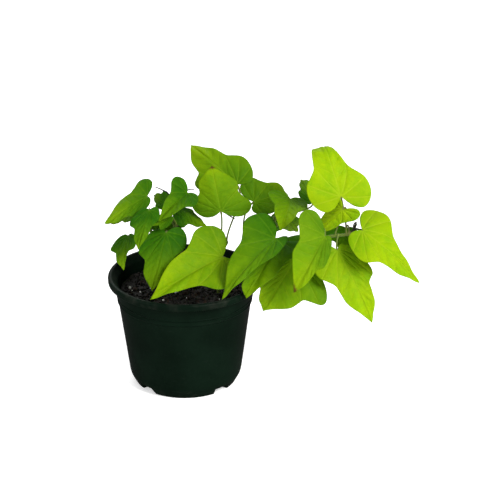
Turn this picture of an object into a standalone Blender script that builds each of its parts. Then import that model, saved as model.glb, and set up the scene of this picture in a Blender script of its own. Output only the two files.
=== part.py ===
"""A sweet potato vine in a six inch plastic nursery pot.

Lengths are in millimetres in the tables and are turned into metres by MM.
The pot stands on z = 0 with its axis on the z axis. The viewer's side is -Y.
Every leaf blade is placed by four points: its base, where the stalk meets it, its
tip, and the widest points of the two ears beside its base.
"""

import math
from typing import NamedTuple

import bmesh
import bpy
import numpy as np
from mathutils import Vector, noise

MM = 0.001
GAP = 0.3  # clearance between solids that touch
TURNS = 52  # facets round the pot and the soil

# Pot
RIM_RADIUS = 76.0
POT_HEIGHT = 112.6
WALL = 1.8
LIP_WIDTH = 5.5
LIP_DROP = 7.0  # height of the rolled lip
LIP_ROUND = 2.2  # height over which the lip's edge is rounded
BAND_HEIGHT = 26.0  # thicker band under the lip, ended by two rings
BAND_EXTRA = 0.9
RING_EXTRA = 0.7
RING_GAP = 5.0  # between the two rings
RING_HALF = 1.0  # half the height of one
WALL_FOOT_Z = 12.0
WALL_FOOT_RADIUS = 56.0
WALL_SLOPE = 0.129  # radius gained per millimetre of height
FOOT_RADIUS = 50.4
FOOT_HEIGHT = 5.4
FOOT_WIDTH = 9.0
FOOT_SLOPE = 1.0  # how far the foot ring leans in on either side
FLOOR_Z = 7.4
NOTCH_COUNT = 4
NOTCH_ANGLE = 19.0  # degrees of the foot ring that each notch takes
NOTCH_TURN = 44.5  # where the first notch is, in degrees from +X
BOSS_RADIUS = 8.0  # flat boss in the middle of the underside
DRAIN_RADIUS = 5.0
DRAIN_CIRCLE = 30.0

# Soil
SOIL_Z = 95.0
SOIL_LUMP = 1.6
SOIL_RINGS = 9
SOIL_EDGE = 1.2  # flat strip beside the wall
HOLE_GAP = 0.5  # round a stem

# Stems
ROOT_DEPTH = 15.0
STRAIGHT_BELOW = 5.0  # a stem stands straight from this far under the soil's level
STRAIGHT_ABOVE = 4.0  # to this far over it
VINE_RADIUS = 1.9
VINE_END_RADIUS = 1.1
PETIOLE_RADIUS = 1.05
VINE_POINTS = 15
PETIOLE_POINTS = 8
VINE_SIDES = 2  # bevel resolution
PETIOLE_SIDES = 1
PETIOLE_RISE = 0.35  # of its length, in which a leaf's stalk leaves its vine upwards
PETIOLE_REACH = 0.22  # of its length, in which it comes in under the blade

# Leaf blade
BLADE_THICKNESS = 0.8
BLADE_RAYS = 9  # outline points of one half
BLADE_RINGS = (0.0, 0.38, 0.72, 1.0)  # sizes of the outline from base to edge
CURLED_RINGS = (0.0, 0.35, 0.5, 0.62, 0.74, 0.87, 1.0)
STALK_UNDER = 1.3  # the stalk ends this far under the blade's middle surface
STALK_BEHIND = 1.2  # and this far behind its base, in the notch

# Half outline of a blade in units of the length from base to tip: it starts at the
# notch behind the base, goes round the ear and runs along the side to the tip.
HALF_OUTLINE = (
    (-0.06, 0.05), (-0.13, 0.14), (-0.15, 0.26), (-0.07, 0.37), (0.06, 0.42),
    (0.18, 0.40), (0.28, 0.32), (0.37, 0.25), (0.49, 0.225), (0.61, 0.20),
    (0.73, 0.15), (0.84, 0.09), (0.93, 0.04), (1.0, 0.0),
)
EAR_X = 0.06  # where the outline is widest
EAR_Y = 0.42
LOBE_START = 0.25  # where along the blade its middle lobe begins to widen
LOBE_SPAN = 0.35
CURL_START = 0.5
WAVES = 11.0  # how fast the edge waves from one side of the base round to the other

LEAF_GREEN = (0.42, 0.62, 0.03)
STEM_GREEN = (0.25, 0.27, 0.08)
POT_GREEN = (0.012, 0.03, 0.018)
SOIL_BROWN = (0.035, 0.022, 0.015)


class Leaf(NamedTuple):
    """One blade: the vine it grows on, where its stalk leaves that vine from 0 at
    the soil to 1 at the end, its base and tip, the widest points of its left and
    right ears as seen from its upper face with the tip away, how wide its middle
    lobe is on either side beside the usual one, how much it arches and waves, the
    angle in radians through which its outer half curls under, and how far from the
    blade its stalk ends beside the usual distance."""

    name: str
    vine: str
    at: float
    base: tuple
    tip: tuple
    left: tuple
    right: tuple
    lobes: tuple = (1.0, 1.0)
    arch: float = 0.25
    wave: float = 0.02
    curl: float = 0.0
    seat: float = 1.0


VINES = {
    "vine_left": ((-14, 4), (-19, 4, 118), (-27, 3, 140), (-34, 8, 158), (-42, 14, 172)),
    "vine_mid": ((0, 12), (-2, 16, 118), (-6, 26, 138), (-9, 36, 154), (-8, 40, 166)),
    "vine_centre": ((28, 6), (31, 8, 112), (35, 12, 124), (42, 20, 138)),
    "vine_back": (
        (58, 18), (60, 19, 106), (64, 27, 122), (74, 41, 136), (90, 46, 144), (110, 50, 153),
    ),
    "vine_right": (
        (34, -8), (42, -10, 118), (62, -8, 136), (92, -2, 146), (122, 0, 150),
        (148, 0, 153), (163, -5, 158), (168, -6, 168),
    ),
}

LEAVES = (
    Leaf("leaf_left_top", "vine_left", 0.95, (-36, 7, 192), (-76, -25, 176),
         (-44, -10, 178), (-41, 25, 202), lobes=(1.2, 1.3)),
    Leaf("leaf_left_edge", "vine_left", 0.80, (-51, 30, 166), (-73, 20, 156),
         (-56, 15, 161), (-63, 35, 163)),
    Leaf("leaf_left_low", "vine_left", 0.60, (-55, 0, 153), (-58, -30, 129),
         (-47, -14, 149), (-71, -5, 142), lobes=(0.4, 1.1)),
    Leaf("leaf_left_inner", "vine_left", 0.90, (-33, -15, 186), (-43, -42, 156),
         (-23, -18, 180), (-51, -22, 177)),
    Leaf("leaf_left_front", "vine_left", 0.45, (-17, -14, 162), (-30, -46, 114),
         (3, -14, 151), (-43, -18, 148), lobes=(1.15, 1.15)),
    Leaf("leaf_mid_top", "vine_mid", 0.95, (3, 21, 190), (-24, -20, 177),
         (12, 5, 184), (-10, 25, 204)),
    Leaf("leaf_mid_left", "vine_mid", 0.80, (-19, 42, 168), (-32, 66, 169),
         (-28, 47, 163), (-19, 52, 179)),
    Leaf("leaf_mid_right", "vine_mid", 0.75, (-8, 30, 170), (22, 10, 158),
         (5, 32, 168), (-4, 10, 158), seat=1.1),
    Leaf("leaf_mid_low", "vine_mid", 0.60, (-12, 2, 173), (-37, -23, 173),
         (-20, -15, 166), (-25, 3, 173)),
    Leaf("leaf_crown_back", "vine_centre", 0.98, (51, 40, 192), (5, 85, 216),
         (14, 45, 183), (62, 60, 209)),
    Leaf("leaf_crown_front", "vine_centre", 0.80, (36, 10, 175), (27, 32, 214),
         (8, 18, 176), (66, 18, 178), lobes=(1.25, 1.45)),
    Leaf("leaf_front", "vine_centre", 0.35, (38, -24, 141), (-31, -66, 114.5),
         (44, -60, 125), (18, -10, 167), lobes=(0.7, 1.15)),
    Leaf("leaf_front_right", "vine_right", 0.30, (89, -35, 165), (38, -77, 120),
         (92, -52, 157), (64, -12, 178), lobes=(0.9, 1.15)),
    Leaf("leaf_back_left", "vine_back", 0.45, (69, 57, 166), (117, 81, 167),
         (61, 71, 185), (84, 46, 157), lobes=(1.2, 1.0), curl=1.8),
    Leaf("leaf_back_mid", "vine_back", 0.85, (104, 20, 184), (93, -29, 170),
         (121, 5, 182), (82, 0, 198), seat=0.8),
    Leaf("leaf_back_end", "vine_back", 0.95, (127, 50, 169), (116, 88, 177),
         (114, 60, 171), (137, 70, 176)),
    Leaf("leaf_right_low", "vine_right", 0.60, (108, -16, 134), (77, -40, 90),
         (139, -38, 100), (66, -38, 122), lobes=(1.0, 0.85), seat=0.65),
    Leaf("leaf_right_inner", "vine_right", 0.50, (94, -14, 152), (61, -54, 110),
         (119, -28, 153), (62, -39, 140), lobes=(1.2, 1.2), seat=0.75),
    Leaf("leaf_right_front", "vine_right", 0.70, (136, -45, 172), (106, -75, 126),
         (138, -58, 150), (113, -40, 193), lobes=(1.0, 1.4)),
    Leaf("leaf_right_tip", "vine_right", 0.80, (150, -14, 144), (183, -48, 81),
         (181, -20, 130), (127, -32, 129), lobes=(1.1, 1.1)),
    Leaf("leaf_far_right", "vine_right", 0.93, (174, -12, 164), (228, -44, 121),
         (195, 8, 173), (169, -38, 145), lobes=(0.65, 0.85)),
    Leaf("leaf_right_top", "vine_right", 0.85, (153, -4, 196), (129, 48, 255),
         (121, -4, 195), (182, 2, 202), lobes=(0.95, 0.6), curl=2.6),
    Leaf("leaf_right_mid", "vine_right", 0.78, (154, -12, 186), (130, 4, 153),
         (170, -14, 178), (142, 6, 189), arch=0.1),
    Leaf("leaf_right_under", "vine_right", 0.88, (160, 22, 152), (165, 2, 127),
         (177, 8, 145), (138, 18, 146)),
    Leaf("leaf_hidden_left", "vine_mid", 0.30, (-18, 45, 149), (-28, 69, 126),
         (-3, 55, 141), (-37, 51, 142)),
    Leaf("leaf_hidden_mid", "vine_back", 0.30, (80, 56, 142), (78, 84, 116),
         (95, 66, 134), (66, 64, 134)),
    Leaf("leaf_hidden_right", "vine_back", 0.75, (100, 62, 148), (112, 92, 118),
         (116, 66, 142), (86, 76, 140)),
)


def smooth_curve(points, count):
    """Points evenly spread over a Catmull-Rom curve through the given points."""
    knots = np.array(points, float)
    padded = np.vstack([2 * knots[0] - knots[1], knots, 2 * knots[-1] - knots[-2]])
    at = np.linspace(0, len(knots) - 1, count)
    span = np.minimum(at.astype(int), len(knots) - 2)
    t = (at - span)[:, None]
    a, b, c, d = (padded[span + k] for k in range(4))
    return 0.5 * (
        2 * b + (c - a) * t + (2 * a - 5 * b + 4 * c - d) * t**2 + (3 * b - a - 3 * c + d) * t**3
    )


def bezier(p0, p1, p2, p3, count):
    """Points on a cubic Bezier curve."""
    t = np.linspace(0, 1, count)[:, None]
    return p0 * (1 - t) ** 3 + 3 * p1 * t * (1 - t) ** 2 + 3 * p2 * t**2 * (1 - t) + p3 * t**3


def unit(vector):
    """The vector made one long."""
    return np.array(vector, float) / np.linalg.norm(vector)


def material(name, colour, roughness):
    """A plain surface."""
    made = bpy.data.materials.new(name)
    made.use_nodes = True
    shader = made.node_tree.nodes["Principled BSDF"]
    shader.inputs["Base Color"].default_value = (*colour, 1)
    shader.inputs["Roughness"].default_value = roughness
    return made


def collection(name):
    """A new collection in the scene."""
    made = bpy.data.collections.new(name)
    bpy.context.scene.collection.children.link(made)
    return made


def evaluated_mesh(obj):
    """The object's mesh with its modifiers or its bevel in it, welded."""
    bpy.context.view_layer.update()
    graph = bpy.context.evaluated_depsgraph_get()
    mesh = bpy.data.meshes.new_from_object(obj.evaluated_get(graph))
    mesh.transform(obj.matrix_world)
    welded = bmesh.new()
    welded.from_mesh(mesh)
    bmesh.ops.remove_doubles(welded, verts=welded.verts, dist=0.00001)
    welded.to_mesh(mesh)
    welded.free()
    return mesh


def as_mesh(obj, target, name):
    """A plain mesh object in place of a curve or an object with modifiers."""
    mesh = evaluated_mesh(obj)
    bpy.data.objects.remove(obj)
    mesh.name = name
    made = bpy.data.objects.new(name, mesh)
    target.objects.link(made)
    return made


def turned(name, profile, target):
    """A closed turned body. The profile runs from the axis up the inside, over the
    rim, down the outside and back to the axis."""
    mesh = bpy.data.meshes.new(name)
    points = [(radius * MM, 0, height * MM) for radius, height in profile]
    mesh.from_pydata(points, [(i, i + 1) for i in range(len(points) - 1)], [])
    obj = bpy.data.objects.new(name, mesh)
    target.objects.link(obj)
    screw = obj.modifiers.new("turn", "SCREW")
    screw.steps = screw.render_steps = TURNS
    screw.use_merge_vertices = True
    screw.merge_threshold = 0.00001
    return obj


def tube(name, points, radii, sides, target):
    """A round bar with closed ends along the points."""
    curve = bpy.data.curves.new(name, "CURVE")
    curve.dimensions = "3D"
    curve.bevel_depth = MM
    curve.bevel_resolution = sides
    curve.use_fill_caps = True
    spline = curve.splines.new("POLY")
    spline.points.add(len(points) - 1)
    for spot, point, radius in zip(spline.points, points, radii):
        spot.co = (*(point * MM), 1)
        spot.radius = radius
    obj = bpy.data.objects.new(name, curve)
    target.objects.link(obj)
    return as_mesh(obj, target, name)


def boolean(obj, operation, tools):
    """Joins or cuts obj with every object of a collection, which is then emptied."""
    step = obj.modifiers.new(operation.lower(), "BOOLEAN")
    step.operation = operation
    step.operand_type = "COLLECTION"
    step.collection = tools
    mesh = evaluated_mesh(obj)
    obj.modifiers.clear()
    obj.data = mesh
    for tool in list(tools.objects):
        bpy.data.objects.remove(tool)
    bpy.data.collections.remove(tools)


def wall_radius(height):
    """Outer radius of the tapered wall."""
    return WALL_FOOT_RADIUS + WALL_SLOPE * (height - WALL_FOOT_Z)


def pot_profile():
    """Half section of the pot: up the inside, over the lip, down past the two rings
    and the foot ring, and back to the axis under the floor."""
    top = POT_HEIGHT
    lip_foot = top - LIP_DROP
    band_foot = top - BAND_HEIGHT
    inside = [
        (0, FLOOR_Z),
        (FOOT_RADIUS - WALL, FLOOR_Z),
        (WALL_FOOT_RADIUS - WALL, WALL_FOOT_Z + WALL),
        (wall_radius(lip_foot) - WALL, lip_foot),
        (RIM_RADIUS - LIP_WIDTH, top - LIP_ROUND),
        (RIM_RADIUS - LIP_WIDTH * 0.78, top - LIP_ROUND * 0.15),
    ]
    lip = [
        (RIM_RADIUS - LIP_WIDTH * 0.47, top),
        (RIM_RADIUS - LIP_WIDTH * 0.15, top - LIP_ROUND * 0.3),
        (RIM_RADIUS, top - LIP_ROUND),
        (RIM_RADIUS - LIP_WIDTH * 0.05, lip_foot + LIP_ROUND * 0.3),
        (RIM_RADIUS - LIP_WIDTH * 0.2, lip_foot),
        (wall_radius(lip_foot) + BAND_EXTRA * 2.7, lip_foot - LIP_ROUND * 0.4),
        (wall_radius(lip_foot) + BAND_EXTRA, lip_foot - LIP_ROUND),
    ]
    rings = []
    for height in (band_foot + RING_GAP, band_foot):
        rings += [
            (wall_radius(height + RING_HALF) + BAND_EXTRA, height + RING_HALF),
            (wall_radius(height) + BAND_EXTRA + RING_EXTRA, height),
            (wall_radius(height - RING_HALF) + BAND_EXTRA * 0.4, height - RING_HALF),
        ]
    foot = [
        (WALL_FOOT_RADIUS, WALL_FOOT_Z),
        (WALL_FOOT_RADIUS - FOOT_SLOPE, WALL_FOOT_Z * 0.7),
        (FOOT_RADIUS + FOOT_SLOPE, FOOT_HEIGHT * 0.3),
        (FOOT_RADIUS, 0),
        (FOOT_RADIUS - FOOT_WIDTH, 0),
        (FOOT_RADIUS - FOOT_WIDTH - FOOT_SLOPE, FOOT_HEIGHT),
        (BOSS_RADIUS + FOOT_SLOPE, FOOT_HEIGHT),
        (BOSS_RADIUS, 0),
        (0, 0),
    ]
    return inside + lip + rings + foot


def make_pot(target):
    """The pot: a turned shell whose foot ring has four notches and drain holes."""
    pot = turned("pot", pot_profile(), target)
    tools = collection("pot cutters")
    tools.hide_render = True
    notch_width = 2 * FOOT_RADIUS * math.sin(math.radians(NOTCH_ANGLE / 2)) * MM
    for k in range(NOTCH_COUNT):
        angle = math.radians(NOTCH_TURN + 360 / NOTCH_COUNT * k)
        across = Vector((math.cos(angle), math.sin(angle), 0))
        bpy.ops.mesh.primitive_cube_add(size=1, location=across * FOOT_RADIUS * MM)
        notch = bpy.context.object
        notch.scale = (3 * FOOT_WIDTH * MM, notch_width, 2 * FOOT_HEIGHT * MM)
        notch.rotation_euler.z = angle
        bpy.ops.mesh.primitive_cylinder_add(
            vertices=12, radius=DRAIN_RADIUS * MM, depth=20 * MM, location=across * DRAIN_CIRCLE * MM
        )
        for tool in (notch, bpy.context.object):
            for home in tool.users_collection:
                home.objects.unlink(tool)
            tools.objects.link(tool)
    boolean(pot, "DIFFERENCE", tools)
    return pot


def soil_height(x, y):
    """Crumbly surface: three sizes of noise, all in millimetres."""
    spot = Vector((x, y, 0))
    lumps = noise.noise(spot * 0.045) + 0.6 * noise.noise(spot * 0.12) + 0.4 * noise.noise(spot * 0.3)
    return SOIL_Z + SOIL_LUMP * lumps


def make_soil(target):
    """The filled pot's soil, with a plain hole for each vine."""
    edge = wall_radius(SOIL_Z) - WALL - GAP
    low = WALL_FOOT_Z + WALL + 1
    side = [
        (edge - SOIL_EDGE / 3, SOIL_Z),
        (wall_radius(low) - WALL - GAP, low),
        (FOOT_RADIUS - WALL - 1.5, FLOOR_Z + GAP),
        (0, FLOOR_Z + GAP),
    ]
    crown = [((edge - SOIL_EDGE) * k / SOIL_RINGS, SOIL_Z) for k in range(SOIL_RINGS + 1)]
    soil = as_mesh(turned("soil", crown + side, target), target, "soil")
    reach = (edge - SOIL_EDGE * 0.67) * MM
    for vertex in soil.data.vertices:
        if vertex.co.z > (SOIL_Z - 0.1) * MM and vertex.co.xy.length < reach:
            vertex.co.z = soil_height(vertex.co.x / MM, vertex.co.y / MM) * MM
    tools = collection("soil cutters")
    tools.hide_render = True
    for name, route in VINES.items():
        x, y = route[0]
        hole = np.array([(x, y, SOIL_Z - ROOT_DEPTH - GAP), (x, y, SOIL_Z + 10)])
        tube(name + "_hole", hole, [VINE_RADIUS + HOLE_GAP] * 2, VINE_SIDES, tools)
    boolean(soil, "DIFFERENCE", tools)
    return soil


def vine_route(name):
    """The stem stands straight in its hole, then follows its own points."""
    (x, y), *rest = VINES[name]
    heights = (SOIL_Z - ROOT_DEPTH, SOIL_Z - STRAIGHT_BELOW, SOIL_Z + STRAIGHT_ABOVE)
    return smooth_curve([(x, y, height) for height in heights] + rest, VINE_POINTS)


def leaf_axes(leaf):
    """Unit vectors of a blade: along it and out of its upper face."""
    along = unit(np.subtract(leaf.tip, leaf.base))
    return along, unit(np.cross(np.subtract(leaf.right, leaf.left), along))


def petiole_route(leaf, vine):
    """A stalk that leaves the vine upwards and comes in under the blade's base."""
    along, up = leaf_axes(leaf)
    spot = leaf.at * (len(vine) - 1)
    low = int(min(spot, len(vine) - 2))
    start = vine[low] + (vine[low + 1] - vine[low]) * (spot - low)
    end = np.array(leaf.base, float) - leaf.seat * (up * STALK_UNDER + along * STALK_BEHIND)
    reach = np.linalg.norm(end - start)
    lift = np.array((0, 0, 1.0)) * reach * PETIOLE_RISE
    come_in = (along + up) * reach * PETIOLE_REACH
    return bezier(start, start + lift, end - come_in, end, PETIOLE_POINTS)


def make_vine(name, target):
    """A vine with the stalks of its leaves, fused into one body."""
    route = vine_route(name)
    radii = np.linspace(VINE_RADIUS, VINE_END_RADIUS, len(route))
    vine = tube(name, route, radii, VINE_SIDES, target)
    stalks = collection(name + " stalks")
    for leaf in LEAVES:
        if leaf.vine == name:
            stalk = petiole_route(leaf, route)
            tube(leaf.name + "_stalk", stalk, [PETIOLE_RADIUS] * len(stalk), PETIOLE_SIDES, stalks)
    boolean(vine, "UNION", stalks)
    return vine


def blade_point(leaf, x, y, ray):
    """A point of the blade from its place in the outline. The line from base to tip
    carries x and the line from there to the ear on that side carries y. An arch
    along the blade and a wave that grows towards the edge are added. A curled leaf
    follows an arc of a circle from CURL_START to its tip."""
    base = np.array(leaf.base, float)
    spine = np.subtract(leaf.tip, base)
    length = np.linalg.norm(spine)
    _, up = leaf_axes(leaf)
    side = 0 if y < 0 else 1
    ear = np.subtract((leaf.left, leaf.right)[side], base) - EAR_X * spine
    middle = min(1, max(0, (x - LOBE_START) / LOBE_SPAN))
    spread = abs(y) / EAR_Y * (1 + (leaf.lobes[side] - 1) * middle)
    lift = leaf.arch * (x - x * abs(x))
    lift += leaf.wave * np.hypot(x, y) * np.sin(WAVES * ray + len(leaf.name))
    if leaf.curl and x > CURL_START:
        radius = (1 - CURL_START) / leaf.curl
        turn = (x - CURL_START) / radius
        x = CURL_START + radius * np.sin(turn)
        lift -= radius * (1 - np.cos(turn))
    return base + x * spine + spread * ear + lift * length * up


def make_leaf(leaf, target):
    """A blade: a grid whose columns are rays from the base to the outline and whose
    rows are that outline scaled down to the base, bent, then made thick."""
    rings = CURLED_RINGS if leaf.curl else BLADE_RINGS
    last = len(rings) - 1
    sheet = bmesh.new()
    bmesh.ops.create_grid(sheet, x_segments=2 * BLADE_RAYS, y_segments=last, size=1)
    half = smooth_curve(HALF_OUTLINE, BLADE_RAYS + 1)
    for vertex in sheet.verts:
        ray, ring = vertex.co.x, (vertex.co.y + 1) / 2
        step = round((1 - abs(ray)) * BLADE_RAYS)
        x, y = half[step] * rings[round(ring * last)]
        vertex.co = Vector(blade_point(leaf, x, y if ray > 0 else -y, ray) * MM)
    bmesh.ops.remove_doubles(sheet, verts=sheet.verts, dist=0.00001)
    bmesh.ops.triangulate(sheet, faces=sheet.faces)
    mesh = bpy.data.meshes.new(leaf.name)
    sheet.to_mesh(mesh)
    sheet.free()
    obj = bpy.data.objects.new(leaf.name, mesh)
    target.objects.link(obj)
    thick = obj.modifiers.new("thickness", "SOLIDIFY")
    thick.thickness = BLADE_THICKNESS * MM
    thick.offset = 0
    return obj


def main():
    """Empties the file and makes every solid, each with its plain surface."""
    for obj in list(bpy.data.objects):
        bpy.data.objects.remove(obj)
    plant = collection("sweet potato vine")
    looks = {
        "pot": material("pot plastic", POT_GREEN, 0.4),
        "soil": material("potting soil", SOIL_BROWN, 0.95),
        "stem": material("stem", STEM_GREEN, 0.5),
        "leaf": material("leaf", LEAF_GREEN, 0.45),
    }
    made = [("pot", make_pot(plant)), ("soil", make_soil(plant))]
    made += [("stem", make_vine(name, plant)) for name in VINES]
    made += [("leaf", make_leaf(leaf, plant)) for leaf in LEAVES]
    for look, obj in made:
        obj.data.materials.clear()
        obj.data.materials.append(looks[look])
        obj.data.shade_smooth()


main()
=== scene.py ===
import math
from typing import NamedTuple

import bmesh
import bpy
import numpy as np
from bpy.props import FloatProperty, FloatVectorProperty, IntProperty, PointerProperty
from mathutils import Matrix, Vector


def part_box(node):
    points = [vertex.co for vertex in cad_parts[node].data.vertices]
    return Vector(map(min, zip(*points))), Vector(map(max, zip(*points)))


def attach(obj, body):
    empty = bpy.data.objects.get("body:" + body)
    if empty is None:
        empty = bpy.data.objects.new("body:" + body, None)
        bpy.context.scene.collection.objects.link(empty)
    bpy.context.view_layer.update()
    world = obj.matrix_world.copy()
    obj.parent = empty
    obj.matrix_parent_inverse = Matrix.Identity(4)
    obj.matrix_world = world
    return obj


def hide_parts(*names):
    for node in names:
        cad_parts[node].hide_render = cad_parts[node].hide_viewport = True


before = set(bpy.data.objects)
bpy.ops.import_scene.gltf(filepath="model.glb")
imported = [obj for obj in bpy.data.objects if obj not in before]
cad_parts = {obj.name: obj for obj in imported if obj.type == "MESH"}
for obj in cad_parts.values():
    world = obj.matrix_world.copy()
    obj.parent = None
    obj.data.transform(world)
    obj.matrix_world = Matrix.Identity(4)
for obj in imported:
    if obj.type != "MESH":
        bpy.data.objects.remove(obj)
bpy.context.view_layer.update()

bl_info = {
    "name": "Sweet potato vine in a nursery pot",
    "version": (1, 0, 0),
    "blender": (4, 5, 0),
    "location": "View3D > Sidebar > Vine",
    "description": "Leaves, stems, soil and pot of a potted sweet potato vine",
    "category": "Object",
}

MM = 0.001
WELD = 0.00001  # metres
FINE_WELD = 0.000002

# Pot, in millimetres
RIM_RADIUS = 76.0
POT_HEIGHT = float(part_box("pot")[1][2]) / MM
WALL = 1.8
LIP_WIDTH = 5.5
LIP_DROP = 7.0
LIP_ROUND = 2.2
BAND_HEIGHT = 26.0
BAND_EXTRA = 0.9
RING_EXTRA = 0.7
RING_GAP = 5.0
RING_HALF = 1.0
WALL_FOOT_Z = 12.0
WALL_FOOT_RADIUS = 56.0
WALL_SLOPE = 0.129
FOOT_RADIUS = 50.4
FOOT_HEIGHT = 5.4
FOOT_WIDTH = 9.0
FOOT_SLOPE = 1.0
FLOOR_Z = 7.4
NOTCH_COUNT = 4
NOTCH_ANGLE = 19.0
NOTCH_TURN = 44.5
NOTCH_SLOPE = 1.2  # degrees in which a foot's end rises
BOSS_RADIUS = 8.0
DRAIN_RADIUS = 5.0
DRAIN_CIRCLE = 30.0
POT_TURNS = 240
CORNER_STEPS = 5
CORNER_ROUND = 0.9
CORNER_SHARE = 0.45  # the most of a short side that a corner takes
SHARP_ANGLE = 50.0
DRAIN_LOW = -6.0  # ends of the tool that cuts a drain hole
DRAIN_HIGH = 16.0
DRAIN_SIDES = 40

# Soil
SOIL_Z = 95.0
SOIL_REACH = float(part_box("soil")[1][0]) / MM
SOIL_GAP = 0.3
SOIL_EDGE = (0.4, 1.5)  # how far in and down the edge of the top is rounded
SOIL_FOOT = (1.5, 1.0)  # the same at the foot of the wall
SOIL_TURNS = 200
SOIL_RINGS = 70
SOIL_NOISE = ((1.0, 17.0, 3), (0.7, 7.0, 4), (0.45, 3.0, 5), (0.3, 1.3, 6))  # weight, cell, seed
NOISE_SHARE = 0.75
CLEAR_OF_STEM = 1.2  # how far loose bits stay from the stems and from the wall
CLEAR_OF_WALL = 0.8
SINK = 0.3  # share of a loose bit that lies under the surface
STRETCH = (0.7, 1.3)
SIZE_POWER = 0.6  # under 1, so that small bits are more common

# Stems
ROOT_DEPTH = 15.0
STRAIGHT_BELOW = 5.0
STRAIGHT_ABOVE = 4.0
VINE_RADIUS = 1.9
VINE_END_RADIUS = 1.1
PETIOLE_RADIUS = 1.05
VINE_POINTS = 15
VINE_STEPS = 90
PETIOLE_STEPS = 44
DRY_STEPS = 30
STEM_SIDES = 16
STALK_SIDES = 12
STALK_UNDER = 0.9
STALK_BEHIND = 0.1
PETIOLE_RISE = 0.35
PETIOLE_REACH = 0.22
NODE_SWELL = 0.35  # how much a vine swells where a stalk leaves it
NODE_LENGTH = 0.02
STALK_MIDDLE = 0.82  # share of PETIOLE_RADIUS at a stalk's middle
STALK_FOOT = (0.35, 0.08)  # what each end adds, and over what share of the stalk
STALK_HEAD = (0.22, 0.06)
DRY_SHOOT_RADIUS = 0.9
DRY_STALK_RADIUS = 0.95
DRY_TAPER = 0.5
CAP_RINGS = (0.35, 0.75, 0.95)  # radii of the rings that round a tube's end
ASIDE = (0.3, 0.9, 0.2)  # no tube starts in this direction

# Leaf outline in units of the length from base to tip
HALF_OUTLINE = (
    (-0.06, 0.05), (-0.13, 0.14), (-0.15, 0.26), (-0.07, 0.37), (0.06, 0.42),
    (0.18, 0.40), (0.28, 0.32), (0.37, 0.25), (0.49, 0.225), (0.61, 0.20),
    (0.73, 0.15), (0.84, 0.09), (0.93, 0.04), (1.0, 0.0),
)
EAR_X = 0.06
EAR_Y = 0.42
LOBE_START = 0.25
LOBE_SPAN = 0.35
CURL_START = 0.5
SOFT_RIB = 0.05  # half width of the round fold at the midrib, same units
WAVES = 11.0
RIPPLE = 0.010
RIPPLES = 31.0
BASAL_VEINS = (0.62, 1.18, 1.75)  # angles from the midrib at the base, in radians
BASAL_BEND = -0.22
LATERALS = 6.5  # side veins per blade length
LATERAL_LEAN = 0.95
LATERAL_CURVE = 0.9
LATERAL_SHIFT = 0.2  # share of their pace by which each half's side veins are shifted
LATERAL_SLANT = 0.72
LATERAL_FAN = (0.5, 0.62)  # angles between which the side veins fade out
VEIN_WIDTH = 0.05
LEAST_VEIN = 0.008
BASAL_SHARE = 0.8  # how strong the side veins are beside the midrib
LATERAL_SHARE = 0.6
HALF_RAYS = 56
BLADE_RINGS = 26
ROW_EASE = 0.85
SWELL_LENGTH = 70.0  # a shorter blade swells less
SWELL_SHARE = 0.7
RIB_SHARE = 1.4  # a vein stands out below by this much of its depth above
TIP_YOUTH_AND_BASE_SHADE = 0.5  # how much yellower the tip is than the base: partly the younger tip, partly painted shade that darkens the base where leaves overlap
TIP_YOUTH_AND_BASE_SHADE_MIDDLE = 0.4
SHADE = 0.05

# View
FLOOR_REACH = 9000.0
FLOOR_GLOW = 0.45
CAMERA_PLACE = (64.6, -1805.2, 919.0)
CAMERA_PITCH = 23.4
CAMERA_LENS = 144.0
CAMERA_SENSOR = 36.0
CAMERA_REACH = 30.0  # metres
ROOM_LIGHT = 0.6
ROOM_SHINE = 0.1  # what shiny surfaces mirror, a darker room
FLOOR_SHINE = 0.9  # how far the floor is dimmed where they mirror it
LIGHT_AIM = (60.0, 0.0, 120.0)

# Lights: name, place, size, power and colour
LIGHTS = (
    ("key", (900, -850, 1150), 600, 30.0, (1.0, 0.98, 0.94)),
    ("fill", (-1100, -700, 700), 900, 5.0, (0.95, 0.98, 1.0)),
    ("back", (-300, 1100, 1000), 800, 8.0, (1.0, 1.0, 1.0)),
)


class Leaf(NamedTuple):
    """One blade: the vine it grows on, where its stalk leaves that vine from 0 at
    the soil to 1 at the end, its base and tip, the widest points of its left and
    right ears as seen from its upper face with the tip away, how wide its middle
    lobe is on either side beside the usual one, how much it arches and waves, the
    angle through which its outer half curls under, how young it is from 0, a full
    green, to 1, yellow, and how far from its tip it has dried."""

    name: str
    vine: str
    at: float
    base: tuple
    tip: tuple
    left: tuple
    right: tuple
    lobes: tuple = (1.0, 1.0)
    arch: float = 0.25
    wave: float = 0.02
    curl: float = 0.0
    young: float = 0.5
    dry: float = 0.0


# Loose bits on the soil: name, sizes, stretch, jitter of their points, seed, smoothness
CRUMBS = ("soil_crumbs", (0.6, 1.9), (1.0, 0.9, 0.8), 0.25, 11, True)
BARK = ("soil_bark", (1.0, 2.2), (2.2, 0.9, 0.4), 0.3, 12, False)
PERLITE = ("soil_perlite", (0.8, 1.9), (1.1, 1.0, 0.9), 0.22, 13, True)

VINES = {
    "vine_left": ((-14, 4), (-19, 4, 118), (-27, 3, 140), (-34, 8, 158), (-42, 14, 172)),
    "vine_mid": ((0, 12), (-2, 16, 118), (-6, 26, 138), (-9, 36, 154), (-8, 40, 166)),
    "vine_centre": ((28, 6), (31, 8, 112), (35, 12, 124), (42, 20, 138)),
    "vine_back": (
        (58, 18), (60, 19, 106), (64, 27, 122), (74, 41, 136), (90, 46, 144), (110, 50, 153),
    ),
    "vine_right": (
        (34, -8), (42, -10, 118), (62, -8, 136), (92, -2, 146), (122, 0, 150),
        (148, 0, 153), (163, -5, 158), (168, -6, 168),
    ),
}

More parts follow.
